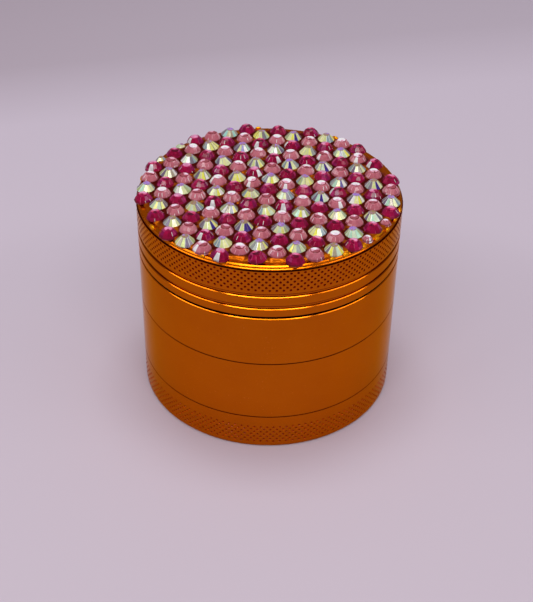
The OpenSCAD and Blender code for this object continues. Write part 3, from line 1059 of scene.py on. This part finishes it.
glue = {
    "film": 0.15,
    "climb": 0.42,        # how far it rises against a crystal
    "reach": 0.38,        # how fast that falls off
    "ripple": 0.12,
    "waves": (5, 9, 14, 23, 37),     # how many of each kind go round the rim
    "wavesAtEdge": 0.35,
    "edge": 29.7,         # outer edge of the film
    "margin": 3,          # width of the part that runs out
    # where it has run out: direction and spread in degrees, and how far
    "runs": ((-45, 26, 0.95), (-128, 22, 0.5), (170, 30, 0.35), (75, 60, 0.45)),
    "bulge": 0.14,        # how far it runs out elsewhere
    "draw": 0.9,          # how near a crystal it runs out most
    "roll": 0.35,         # width of the film's rounded edge
    "underEdge": 0.02,
    # beads on the rim: directions in degrees, distance from the axis, and size across it, along it and up
    "beads": (-14, -22, -30.5, -39, -47.5, -57, -63.5, -118, -131, -148, 171, 96, 58),
    "beadPlace": 30.98,
    "beadSize": (0.46, 0.98, 0.55),
    "beadSizes": (0.75, 1.05),
    "beadSunk": 0.05,
    "rings": 96,
    "steps": 384,
    "seed": 5,
}


def makeGlue(material, crystals):
    # a film under the crystals that climbs their sides, runs out at the edge and stands in beads on the rim
    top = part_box("lid")[1].z / mm
    bm = bmesh.new()
    wire = [(glue["edge"] * k / glue["rings"], 0) for k in range(glue["rings"] + 1)]
    spinWire(bm, wire, steps=glue["steps"])
    bmesh.ops.remove_doubles(bm, verts=bm.verts[:], dist=weld)
    dice = random.Random(glue["seed"])
    waves = [(dice.uniform(0, turn), dice.uniform(0.3, 1.0), n) for n in glue["waves"]]
    for v in bm.verts:
        x, y = v.co.x / mm, v.co.y / mm
        radius, angle = math.hypot(x, y), math.atan2(y, x)
        nearest = max(0, min(math.hypot(x - c.x / mm, y - c.y / mm) - width for c, width in crystals))
        rise = glue["climb"] * math.exp(-(nearest / glue["reach"]) ** 2)
        share = max(0.0, (radius - glue["edge"] + glue["margin"]) / glue["margin"])
        wave = sum(a * math.sin(n * angle + p) for p, a, n in waves) / len(waves)
        run = glue["bulge"]
        for side, spread, reach in glue["runs"]:
            off = (math.degrees(angle) - side + 180) % 360 - 180
            run += reach * math.exp(-(off / spread) ** 2)
        drawn = math.exp(-(nearest / glue["draw"]) ** 2)
        grow = share * share * run * (drawn + glue["wavesAtEdge"] * wave)
        if radius > hair:
            v.co.x += grow * mm * x / radius
            v.co.y += grow * mm * y / radius
        crown = math.sqrt(max(0.0, 1 - max(0.0, (radius - glue["edge"]) / glue["roll"] + 1) ** 2))
        v.co.z = (top + (glue["film"] + rise + glue["ripple"] * max(0.0, wave)) * crown) * mm
    # a rim just under the film's edge closes it below
    rim = [e for e in bm.edges if e.is_boundary]
    grown = bmesh.ops.extrude_edge_only(bm, edges=rim)["geom"]
    low = [g for g in grown if isinstance(g, bmesh.types.BMVert)]
    bmesh.ops.translate(bm, verts=low, vec=(0, 0, -glue["underEdge"] * mm))
    bmesh.ops.holes_fill(bm, edges=[e for e in bm.edges if e.is_boundary], sides=0)
    for direction in glue["beads"]:
        bead = bmesh.ops.create_uvsphere(bm, u_segments=20, v_segments=10, radius=mm)["verts"]
        bmesh.ops.scale(bm, verts=bead, vec=Vector(glue["beadSize"]) * dice.uniform(*glue["beadSizes"]))
        stand = Vector((glue["beadPlace"], 0, top - glue["beadSunk"])) * mm
        bmesh.ops.translate(bm, verts=bead, vec=stand)
        bmesh.ops.rotate(bm, verts=bead, matrix=Matrix.Rotation(math.radians(direction), 3, "Z"))
    finish(bm, "stoneGlue", "lid", ["stone_glue"], [material], sharp=60)


glueLook = {
    # two colours that the clouds mix, between the crystals, where they paint the shade that falls there,
    # and outside them
    "between": ((0.07, 0.003, 0.003), (0.17, 0.014, 0.005)),
    "outside": ((0.40, 0.075, 0.001), (0.62, 0.15, 0.002)),
    "bare": (0.50, 0.12, 0.004),       # where the metal shines through
    "rimHighlight": (0.86, 0.34, 0.004),     # painted highlight on the rim
    "outsideFrom": 28.3,
    "rimFrom": 30.3,
}


def makeGlueLook():
    # clear glue takes the colour of what lies under it, with painted shade between the crystals and a
    # painted highlight on the rim
    material, surface, flow = newMaterial("setGlue", {
        "Metallic": 0.85, "Specular Tint": (0.75, 0.30, 0.10, 1),
        "Coat Weight": 0.03, "Coat Roughness": 0.08, "Coat IOR": 1.48,
    })
    place = placeOf(flow)
    x, y = axesOf(flow, place)[:2]
    radius = flow.calc("SQRT", x * x + y * y)
    cloud = noise(flow, place, 0.8, 4.0, 0.6)
    # painted shade between the crystals, with lighter patches where the metal shines through
    between = mixColours(flow, cloud, *glueLook["between"])
    bare = ((noise(flow, place, 0.35, 2.0, 0.5) - 0.56) * 9.0).clamped()
    between = mixColours(flow, bare, between, glueLook["bare"])
    margin = mixColours(flow, cloud, *glueLook["outside"])
    colour = mixColours(flow, ((radius - glueLook["outsideFrom"]) * 0.8).clamped(), between, margin)
    # the glue on the rim takes the painted highlight
    colour = mixColours(flow, ((radius - glueLook["rimFrom"]) * 5.0).clamped(), colour, glueLook["rimHighlight"])
    bump = relief(flow, noise(flow, place, 1.6, 3.0, 0.5), 0.1, 0.25)
    feed(surface, flow, Base_Color=colour, Roughness=0.24 + cloud * 0.14, Normal=bump)
    return material


crystalJobs = [
    # name, node, slot, cut and glass, size
    ("fuchsiaCrystals", "fuchsia_stones", "fuchsia_glass", "fuchsia", 1.0),
    ("roseCrystals", "rose_stones", "rose_glass", "rose", 1.0),
    ("auroraCrystals", "crystal_stones", "aurora_glass", "aurora", 1.0),
    ("littleRoseCrystals", "small_rose_stones", "rose_glass", "rose", 0.6),
    ("littleAuroraCrystals", "small_crystal_stones", "aurora_glass", "aurora", 0.6),
]

makeCamera()
makeStage()
print("stage ready")

orange = makeAnodised("anodisedOrange")
pitShade = makeAnodised("anodisedPitShade")
shadeRed = makeAnodised("anodisedShade")
palePitShade = makeAnodised("anodisedPalePitShade")
makeBase([orange, palePitShade, shadeRed])
makeSieveChamber([orange, pitShade, shadeRed])
makeGrindingChamber([orange])
makeLid([orange, pitShade, shadeRed])
makeTeeth("chamberTeeth", "chamber_teeth", "grinding_chamber", orange)
makeTeeth("lidTeeth", "lid_teeth", "lid", orange, hanging=True)
print("turned pieces and teeth ready")

finishes = {name: makePlain(name) for name in plain}
for name, (node, rides, slot, look, *sizes) in roundParts.items():
    makeDiscOrRing(name, node, rides, slot, finishes[look], *sizes)
makeScraper(finishes["scraperPlastic"])
reach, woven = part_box("sieve_screen")[1].x / mm, makeWeave()
makeDiscOrRing(
    "sieveScreen", "sieve_screen", "sieve_chamber", "steel_mesh", woven, 0, reach, weave["rounding"],
)
print("inner pieces ready")

crystals = []
for seed, (name, node, slot, kind, size) in enumerate(crystalJobs):
    look = makeGlass(name + "Glass", glass[kind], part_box(node)[0].z / mm)
    makeCrystals(name, node, cuts[kind], size, look, seed)
    width = cuts[kind]["rings"][1][0] * cuts[kind]["swell"] * size
    crystals += [(place * setting["gather"].x, width) for place in islandCentres(node)]
makeGlue(makeGlueLook(), crystals)
print("crystals and glue ready")
